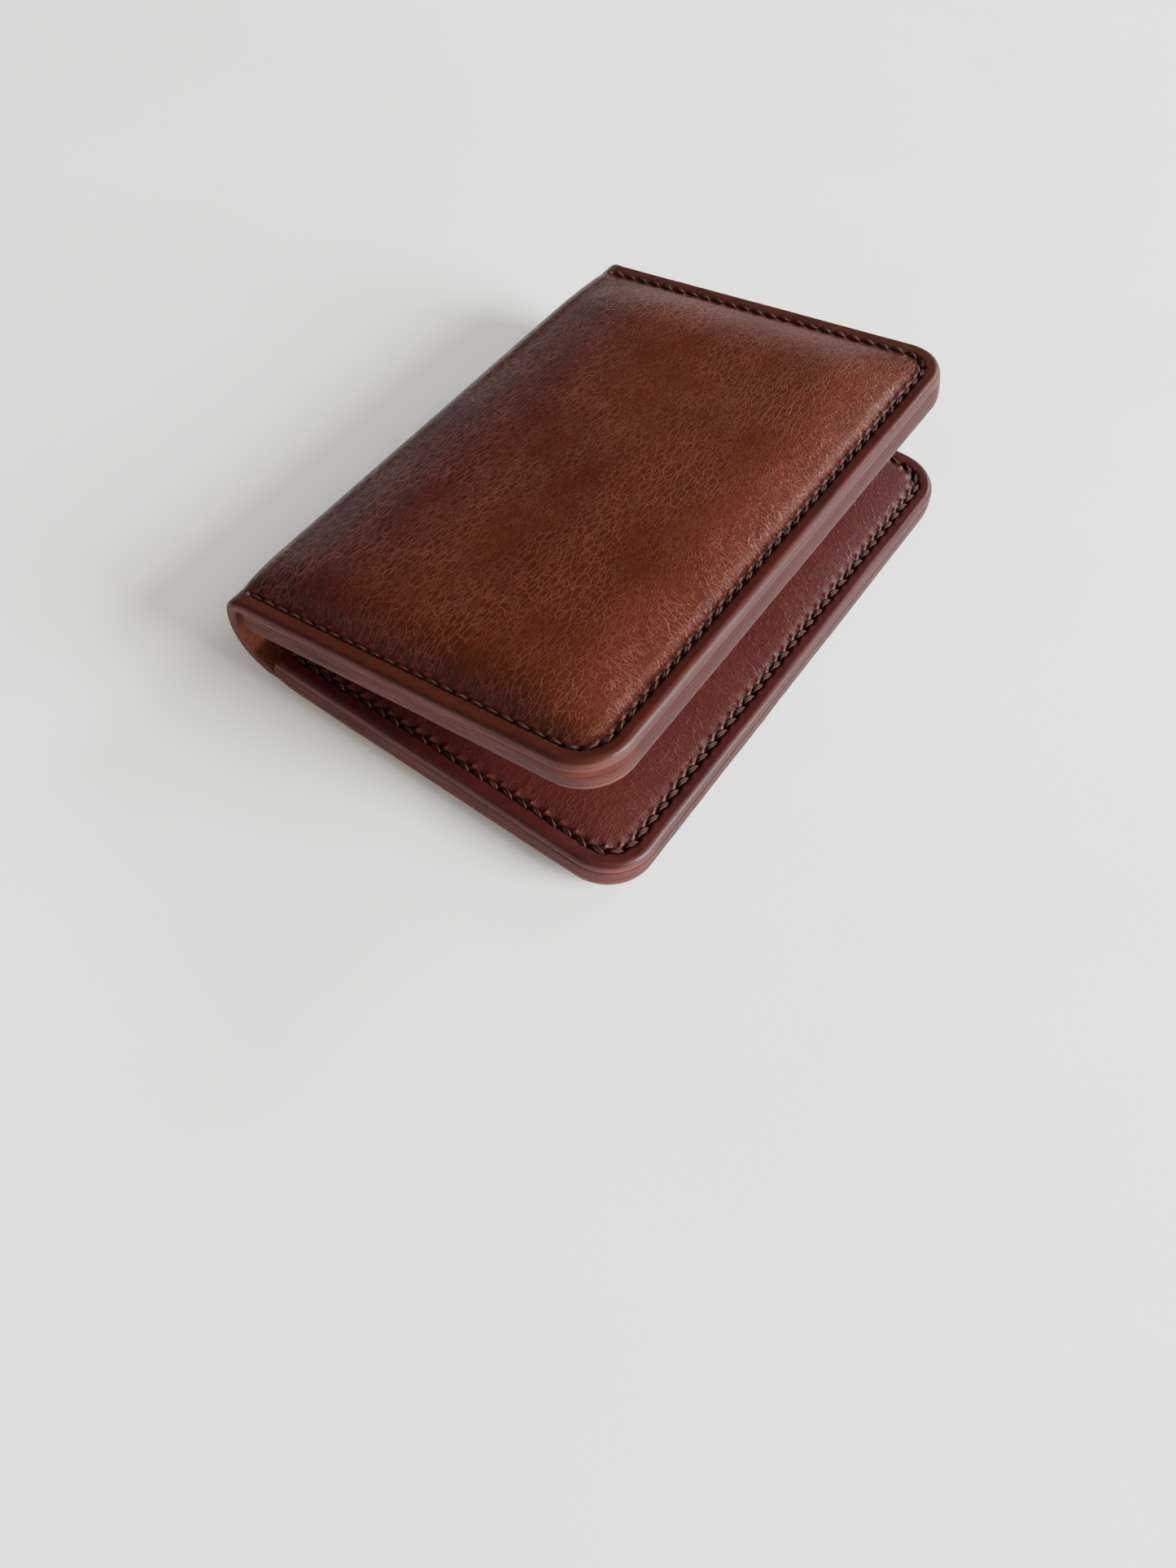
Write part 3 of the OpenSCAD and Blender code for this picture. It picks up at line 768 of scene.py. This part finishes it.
def leather(name, base, deep, warm, edge_a, edge_b, crease=1.0, gloss=0.40, pocket=False):
    """Full-grain aniline leather: patina, fine creases, pores, and a burnished edge."""
    k = Mat(name)
    lc = k.attr("lc")
    edge = k.attr("edge", "Fac")
    inset = k.attr("inset", "Fac")
    s, y, w = k.split(lc)
    warp = k.noise(k.scale(lc, (0.30, 0.30, 0.30)), 1.0, 3, 0.55, out="Color")
    flow = k.vadd(lc, warp, 0.65)
    warp2 = k.noise(k.scale(lc, (1.1, 1.1, 1.1), (4, 4, 4)), 1.0, 2, 0.5, out="Color")
    flow = k.vadd(flow, warp2, 0.12)
    # long shallow creases along the spine, at two sizes, and across it beside the fore edge
    c1 = k.cells(k.scale(flow, (1.25, 0.44, 0.7)), 1.0)
    c2 = k.cells(k.scale(flow, (1.9, 1.0, 1.4), (3.1, 7.7, 0)), 1.0)
    c3 = k.cells(k.scale(flow, (0.42, 1.45, 0.7), (1.3, 2.7, 0)), 1.0)
    line1 = k.ramp(c1, 0.0, 0.085, 1.2, 0.0)
    line2 = k.ramp(c2, 0.0, 0.10, 1.1, 0.0)
    line3 = k.ramp(c3, 0.0, 0.12, 1.3, 0.0)
    ay = k.math("ABSOLUTE", y)
    beside = k.math("SUBTRACT", k.math("SUBTRACT", HALF, ay), inset)
    fore = k.math("MULTIPLY", k.ramp(inset, 7.0, 17.0, 1.0, 0.0), k.ramp(beside, 0.0, 5.0))
    patch1 = k.ramp(k.noise(k.scale(lc, (0.085, 0.06, 0.08), (5, 0, 0)), 1.0, 3, 0.6), 0.30, 0.66, 0.25, 1.0)
    patch2 = k.ramp(k.noise(k.scale(lc, (0.13, 0.10, 0.12), (0, 9, 0)), 1.0, 3, 0.6), 0.28, 0.62, 0.25, 1.0)
    patch3 = k.ramp(k.noise(k.scale(lc, (0.20, 0.16, 0.16), (8, 3, 0)), 1.0, 3, 0.6), 0.30, 0.56)
    broken = k.ramp(k.noise(lc, 0.9, 2, 0.6), 0.30, 0.62)
    pores = k.noise(lc, 5.0, 3, 0.65)
    grain = k.noise(k.scale(lc, (1.5, 0.85, 1.2)), 1.5, 4, 0.66)
    calm = k.ramp(inset, 3.2, 4.6, 0.10, 1.0)
    l1 = k.math("MULTIPLY", k.math("MULTIPLY", line1, patch1), k.math("SUBTRACT", 1.0, k.math("MULTIPLY", fore, 0.8)))
    l2 = k.math("MULTIPLY", k.math("MULTIPLY", line2, patch2), k.math("MULTIPLY", broken, 0.75))
    l3 = k.math("MULTIPLY", k.math("MULTIPLY", line3, patch3), fore)
    lines = k.math("MULTIPLY", k.math("MAXIMUM", k.math("MAXIMUM", l1, l2), l3), calm, clamp=True)
    # patina, and painted shade darkening the cover towards the spine
    big = k.noise(k.scale(lc, (0.030, 0.022, 0.03), (2, 4, 0)), 1.0, 3, 0.55)
    colour = k.mix(k.ramp(big, 0.26, 0.74), base, warm)
    mid = k.noise(k.scale(lc, (0.22, 0.16, 0.2)), 1.0, 4, 0.6)
    colour = k.mix(k.ramp(mid, 0.30, 0.70, 0.12, 0.0), colour, deep)
    # painted shade: the cover and spine wrap are darkened towards the spine, standing in for the dark left side of the
    # room
    if not pocket:
        colour = k.mix(k.ramp(s, 0.0, 26.0, 0.80, 0.0), colour, deep)
    rim = k.ramp(inset, 4.0, 10.0, 0.30, 0.0)
    colour = k.mix(rim, colour, deep)
    colour = k.mix(k.ramp(grain, 0.40, 0.72, 0.0, 0.07), colour, tuple(min(1, c * 1.7) for c in base[:3]) + (1,))
    colour = k.mix(k.ramp(pores, 0.30, 0.44, 0.30, 0.0), colour, deep)
    light = (base[0] * 2.4 + 0.016, base[1] * 3.4 + 0.011, base[2] * 4.4 + 0.009, 1.0)
    colour = k.mix(k.math("MULTIPLY", lines, 0.62 * crease), colour, light)
    # the margin outside the stitches: on the cover, painted light, a lighter colour that makes up for the shade on its
    # downward slope, warm at the near end and lightest at the far end; on the pocket panels, darker
    marg = k.ramp(inset, 2.5, 3.0, 1.0, 0.0)
    sign = -1.0 if pocket else 1.0
    mnoise = k.ramp(k.noise(k.scale(lc, (0.14, 0.14, 0.3)), 1.0, 3, 0.6), 0.35, 0.65)
    if pocket:
        mcol = k.mix(mnoise, lin(70, 25, 24), base)
        colour = k.mix(k.math("MULTIPLY", marg, 0.6), colour, mcol)
    else:
        # painted light: these lighter margin colours offset the shade the sloping margin gets
        mcol = k.mix(k.ramp(y, -48.0, -40.0), lin(98, 46, 33), lin(100, 43, 35))
        mcol = k.mix(k.ramp(y, 38.0, 48.0), mcol, lin(102, 55, 42))
        mcol = k.mix(k.math("MULTIPLY", mnoise, 0.30), mcol, deep)
        colour = k.mix(k.math("MULTIPLY", marg, 0.9), colour, mcol)
    # needle holes: the deepest parts of the stitch relief are painted near-black, as painted shade in the holes
    hw = k.math("MULTIPLY", k.math("ADD", w, 6.1), -1.0) if pocket else w
    colour = k.mix(k.math("MULTIPLY", k.ramp(hw, -0.95, -0.60, 0.9, 0.0), k.ramp(inset, 4.3, 3.9, 0.0, 1.0)), colour, (0.006, 0.003, 0.0025, 1))
    # burnished edge, streaked along its length
    cmb = k.t.nodes.new("ShaderNodeCombineXYZ")
    k.put(cmb.inputs[0], k.math("MULTIPLY", k.math("ADD", s, y), 0.07)); k.put(cmb.inputs[1], k.math("MULTIPLY", k.math("SUBTRACT", s, y), 0.07)); k.put(cmb.inputs[2], k.math("MULTIPLY", w, 1.7))
    streak = k.noise(cmb.outputs[0], 1.0, 4, 0.55, 0.3)
    ecol = k.mix(k.ramp(streak, 0.30, 0.72, 0.2, 0.8), edge_a, edge_b)
    speck = k.noise(lc, 2.2, 3, 0.7)
    ecol = k.mix(k.ramp(speck, 0.56, 0.80, 0.0, 0.35), ecol, deep)
    # painted shade: the edge colour is darkened along the fore side, fading out at the near and far ends, to offset the
    # key light striking it
    ecol = k.mix(k.ramp(ay, 41.0, 50.5, 0.88, 0.0), ecol, lin(62, 25, 20))
    bevel = k.ramp(edge, 0.02, 0.35, 0.0, 1.0)
    face = k.ramp(edge, 0.62, 1.0, 0.0, 1.0)
    colour = k.mix(k.math("MULTIPLY", bevel, 0.40), colour, deep)
    colour = k.mix(face, colour, ecol)
    k.set(Base_Color=colour)
    r0 = k.math("ADD", k.ramp(grain, 0.25, 0.8, gloss - 0.01, gloss + 0.07), k.math("MULTIPLY", lines, -0.08))
    rough = k.math("ADD", r0, k.ramp(big, 0.3, 0.7, -0.03, 0.05))
    ro = k.t.nodes.new("ShaderNodeMix"); ro.data_type = "FLOAT"
    k.put(ro.inputs[0], bevel); k.put(ro.inputs[2], rough); k.put(ro.inputs[3], k.ramp(streak, 0.3, 0.7, 0.36, 0.46))
    rf = k.t.nodes.new("ShaderNodeMix"); rf.data_type = "FLOAT"
    k.put(rf.inputs[0], face); k.put(rf.inputs[2], ro.outputs[0]); k.put(rf.inputs[3], k.ramp(streak, 0.3, 0.7, 0.54, 0.64))
    k.set(Roughness=rf.outputs[0])
    k.set(**{"Specular_IOR_Level": 0.20, "IOR": 1.45})
    h = k.math("ADD", k.math("MULTIPLY", lines, 0.8), k.math("ADD", k.math("MULTIPLY", pores, 0.22), k.math("MULTIPLY", grain, 0.36)))
    h = k.math("ADD", h, k.math("MULTIPLY", k.math("MULTIPLY", streak, 0.25), bevel))
    k.set(Normal=k.bump(h, 0.46 if not pocket else 0.42, 0.00013 if not pocket else 0.00011))
    return k.m


def flesh(name):
    """The rough inner side of the leather."""
    k = Mat(name)
    lc = k.attr("lc")
    n1 = k.noise(lc, 0.55, 4, 0.65)
    n2 = k.noise(k.scale(lc, (1.2, 1.2, 1.2)), 3.2, 4, 0.75, 0.6)
    fib = k.noise(k.scale(lc, (2.2, 5.5, 2.2)), 1.4, 4, 0.7, 0.8)
    c = k.mix(k.ramp(n1, 0.3, 0.7), lin(132, 62, 44), lin(170, 98, 68))
    c = k.mix(k.ramp(fib, 0.45, 0.75, 0.0, 0.65), c, lin(100, 42, 32))
    c = k.mix(k.ramp(n2, 0.60, 0.78, 0.0, 0.45), c, lin(176, 120, 92))
    k.set(Base_Color=c, Roughness=k.ramp(n2, 0.2, 0.8, 0.72, 0.95))
    k.set(**{"Specular_IOR_Level": 0.22})
    k.set(Normal=k.bump(k.math("ADD", n2, fib), 0.9, 0.00018))
    return k.m


def edge_leather(name, a, b_, dark, warm=0.0):
    """Cut edges of the inner layers, burnished and waxed."""
    k = Mat(name)
    lc = k.attr("lc")
    s, y, w = k.split(lc)
    cmb = k.t.nodes.new("ShaderNodeCombineXYZ")
    k.put(cmb.inputs[0], k.math("MULTIPLY", k.math("ADD", s, y), 0.10)); k.put(cmb.inputs[1], k.math("MULTIPLY", k.math("SUBTRACT", s, y), 0.10)); k.put(cmb.inputs[2], k.math("MULTIPLY", w, 2.4))
    streak = k.noise(cmb.outputs[0], 1.0, 4, 0.62, 0.35)
    big = k.noise(k.scale(lc, (0.07, 0.07, 0.35)), 1.0, 3, 0.55)
    fine = k.noise(lc, 3.0, 4, 0.7)
    c = k.mix(k.ramp(streak, 0.30, 0.72, 0.2, 0.8), a, b_)
    c = k.mix(k.ramp(big, 0.42, 0.66, 0.0, 0.55), c, dark)
    c = k.mix(k.ramp(fine, 0.56, 0.80, 0.0, 0.40), c, dark)
    # painted shade: the edge colour is darkened along the fore side, fading out at the near and far ends, to offset the
    # key light striking it
    c = k.mix(k.ramp(k.math("ABSOLUTE", y), 41.0, 50.5, 0.88, 0.0), c, lin(63, 27, 22))
    k.set(Base_Color=c, Roughness=k.ramp(streak, 0.3, 0.7, 0.50, 0.62))
    k.set(**{"Specular_IOR_Level": 0.09, "IOR": 1.45})
    k.set(Normal=k.bump(k.math("ADD", k.math("MULTIPLY", streak, 0.5), fine), 0.35, 0.00008))
    return k.m


def thread_mat(name):
    k = Mat(name)
    lc = k.attr("lc")
    t, a, v = k.split(lc)
    tw = k.math("ADD", k.math("MULTIPLY", a, 6.0), k.math("MULTIPLY", t, 3.2))
    st = k.math("SINE", k.math("MULTIPLY", tw, 6.2832))
    n = k.noise(k.scale(lc, (1.4, 3.0, 1.0)), 2.0, 4, 0.7)
    c = k.mix(k.ramp(n, 0.3, 0.75), lin(58, 28, 19), lin(104, 58, 40))
    each = k.noise(k.scale(lc, (0.0, 0.23, 0.0)), 1.0, 1, 0.5)
    c = k.mix(k.ramp(each, 0.36, 0.62, 0.60, 0.0), c, lin(46, 22, 16))
    # painted highlight: lighter stripes along the twist of the plies
    c = k.mix(k.ramp(st, 0.3, 1.0, 0.0, 0.20), c, lin(116, 76, 56))
    # painted shade: the thread darkens towards its ends, where it dives into the holes
    c = k.mix(k.ramp(k.attr("edge", "Fac"), 0.55, 0.95, 0.0, 0.75), c, lin(24, 13, 10))
    k.set(Base_Color=c, Roughness=k.ramp(n, 0.2, 0.8, 0.40, 0.58))
    k.set(**{"Specular_IOR_Level": 0.18})
    k.set(Normal=k.bump(k.math("ADD", st, n), 0.6, 0.00006))
    return k.m


def felt(name):
    k = Mat(name)
    lc = k.attr("lc")
    n = k.noise(lc, 3.0, 5, 0.8, 0.5)
    k.set(Base_Color=k.mix(n, lin(150, 130, 104), lin(214, 196, 168)), Roughness=0.95)
    k.set(Normal=k.bump(n, 0.8, 0.0002))
    return k.m


BASE, DEEP, WARM = lin(89, 31, 17), lin(56, 17, 15), lin(103, 42, 19)
EDGE_A, EDGE_B = lin(132, 74, 67), lin(100, 53, 49)
m_cover = leather("cover_leather", BASE, DEEP, WARM, EDGE_A, EDGE_B)
m_spine = m_cover
m_pocket = leather("pocket_leather", lin(88, 32, 29), lin(58, 19, 19), lin(96, 38, 30), EDGE_A, EDGE_B, crease=0.35, gloss=0.40, pocket=True)
m_flesh = flesh("flesh_side")
m_lining = edge_leather("lining_edge", lin(138, 74, 56), lin(108, 54, 42), lin(84, 38, 30))
m_welt = edge_leather("welt_edge", lin(132, 75, 69), lin(100, 54, 50), lin(70, 32, 32))
m_thread = thread_mat("waxed_thread")
m_felt = felt("felt_pad")

# --------------------------------------------------------------------------
# The pieces
# --------------------------------------------------------------------------
CROWN_FRONT, CROWN_BACK = 2.75, 2.0
SEED_FRONT, SEED_BACK = 11, 53
POCK_EDGE = np.array([-6.1, -6.0, -5.74, -5.36, -4.8, -4.64])
LIN_U, POCK_U = 1.05, 1.35

pieces = {}
for side_name, place, crown, seed, sf in (("front", place_front, CROWN_FRONT, SEED_FRONT, s_front), ("back", place_back, CROWN_BACK, SEED_BACK, s_back)):
    cov = plate("cover_leather_" + side_name, place, 1, SEAM,
                lambda u, y, m, t, c=crown, sd=seed: cover_height(u, y, m, t, c, sd),
                STACK_EDGE_W, -COVER_T, [m_cover, m_flesh], sf, seed,
                under=lambda u, y, m, c=crown: -COVER_T + c * dome_shape(u, y, m, c > 2.4) * smooth(m, 4.3, 6.0))
    pad = padding("dome_pad_" + side_name, place, crown * 0.96, [m_felt])
    lin_ = sheet_edge("lining_sheet_" + side_name, place, LIN_U, -COVER_T - 0.02, Z_LIN + 0.02, [m_lining], seed)
    w1 = sheet_edge("welt_near_" + side_name, place, LIN_U, Z_LIN - 0.02, Z_WELT + 0.02, [m_welt], seed, "near")
    w2 = sheet_edge("welt_fore_" + side_name, place, LIN_U, Z_LIN - 0.02, Z_WELT + 0.02, [m_welt], seed, "fore")
    w3 = sheet_edge("welt_far_" + side_name, place, LIN_U, Z_LIN - 0.02, Z_WELT + 0.02, [m_welt], seed, "far")
    poc = plate("pocket_panel_" + side_name, place, -1, POCK_U,
                lambda u, y, m, t, sd=seed + 7: pocket_height(u, y, m, t, sd),
                POCK_EDGE, Z_WELT - 0.02, [m_pocket, m_flesh], s_front, seed, extra=(0.1, 0.25, 0.45, 0.7), end_drop=0.5)
    st_o = stitches("stitch_row_outer_" + side_name, place, False, 0, seed + 1, m_thread)
    st_i = stitches("stitch_row_inner_" + side_name, place, True, 1, seed + 2, m_thread)
    for o, nodes, slot in ((cov, ["cover_" + side_name], "cover_leather"), (pad, ["padding_" + side_name], "padding"),
                           (lin_, ["lining_" + side_name], "lining_leather"),
                           (w1, ["welt_%s_near" % side_name], "edge_leather"), (w2, ["welt_%s_fore" % side_name], "edge_leather"), (w3, ["welt_%s_far" % side_name], "edge_leather"),
                           (poc, ["pocket_" + side_name], "pocket_leather"),
                           (st_o, ["stitching_" + side_name], "thread"), (st_i, ["stitching_" + side_name], "thread")):
        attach(o, side_name)
        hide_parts(*nodes)
        pieces[o.name] = o

SP_NAMES = ["spine_wrap_a", "spine_wrap_b", "spine_wrap_c", "spine_wrap_d"]
SP_NODES = [["cover_spine_lower"], ["cover_spine_lower", "cover_spine_middle"], ["cover_spine_middle", "cover_spine_upper"], ["cover_spine_upper"]]
for i in range(4):
    o = spine_piece(SP_NAMES[i], CUTS[i], CUTS[i + 1], [m_spine, m_flesh], 5)
    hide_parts(*SP_NODES[i])
    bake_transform(o)
    pieces[o.name] = o

# --------------------------------------------------------------------------
# Floor, light and camera
# --------------------------------------------------------------------------
GAIN = 2.0
fm = Mat("paper_floor")
tc = fm.t.nodes.new("ShaderNodeTexCoord").outputs["Object"]
fn = fm.noise(fm.scale(tc, (1, 1, 1)), 9.0, 4, 0.6)
ff = fm.noise(tc, 900.0, 3, 0.6)
fm.set(Base_Color=fm.mix(fm.ramp(fn, 0.35, 0.7, 0.0, 1.0), (0.815, 0.81, 0.80, 1), (0.765, 0.765, 0.75, 1)), Roughness=0.85)
fm.set(**{"Specular_IOR_Level": 0.2})
fm.set(Normal=fm.bump(ff, 0.10, 0.0002))
me = bpy.data.meshes.new("floor")
S = 3.0
me.from_pydata([(-S, -S, 0), (S, -S, 0), (S, S, 0), (-S, S, 0)], [], [(0, 1, 2, 3)])
me.materials.append(fm.m)
floor = bpy.data.objects.new("floor", me)
bpy.context.scene.collection.objects.link(floor)
floor.location = (0, 0, -0.00002)

world = bpy.data.worlds.new("soft_room")
bpy.context.scene.world = world
world.use_nodes = True
wt = world.node_tree
bg = wt.nodes["Background"]
wtc = wt.nodes.new("ShaderNodeTexCoord")
dot = wt.nodes.new("ShaderNodeVectorMath"); dot.operation = "DOT_PRODUCT"
wt.links.new(wtc.outputs["Generated"], dot.inputs[0])
dot.inputs[1].default_value = (0.60, -0.58, 0.55)
wr = wt.nodes.new("ShaderNodeMapRange"); wr.interpolation_type = "SMOOTHSTEP"
wt.links.new(dot.outputs["Value"], wr.inputs["Value"])
wr.inputs["From Min"].default_value = -0.15
wr.inputs["From Max"].default_value = 0.95
wr.inputs["To Min"].default_value = 0.08 * GAIN
wr.inputs["To Max"].default_value = 0.60 * GAIN
bg.inputs[0].default_value = (1.0, 0.93, 0.84, 1)
wt.links.new(wr.outputs[0], bg.inputs[1])


def area(name, pos, target, size, power, colour=(1, 1, 1), size_y=None):
    d = bpy.data.lights.new(name, "AREA")
    d.shape = "RECTANGLE"; d.size = size; d.size_y = size_y or size
    d.energy = power; d.color = colour
    o = bpy.data.objects.new(name, d)
    bpy.context.scene.collection.objects.link(o)
    o.location = pos
    o.rotation_euler = (Vector(target) - Vector(pos)).to_track_quat("-Z", "Y").to_euler()
    return o


area("key", (1.44, 0.33, 0.64), (0, 0, 0), 0.85, 72.0 * GAIN, (0.965, 0.988, 1.0))
area("far_window", (0.45, 1.50, 0.80), (0, 0, 0), 0.50, 15.0 * GAIN, (0.98, 0.985, 1.0), 0.42)

AZ, EL, ROLL = math.radians(31.50), math.radians(58.53), math.radians(4.53)
fwd = Vector((-math.sin(AZ) * math.cos(EL), math.cos(AZ) * math.cos(EL), -math.sin(EL)))
right0 = Vector((math.cos(AZ), math.sin(AZ), 0))
up0 = right0.cross(fwd)
rgt = right0 * math.cos(ROLL) + up0 * math.sin(ROLL)
up = rgt.cross(fwd)
cam_d = bpy.data.cameras.new("camera")
cam_d.sensor_width = 36.0
cam_d.lens = 1552.5 * 36.0 / 1927.0
cam_d.clip_start = 0.01
cam = bpy.data.objects.new("camera", cam_d)
bpy.context.scene.collection.objects.link(cam)
rot = Matrix((rgt, up, -fwd)).transposed()
cam.matrix_world = Matrix.Translation(Vector((0.0754, -0.1250, 0.1701))) @ rot.to_4x4()
bpy.context.scene.camera = cam
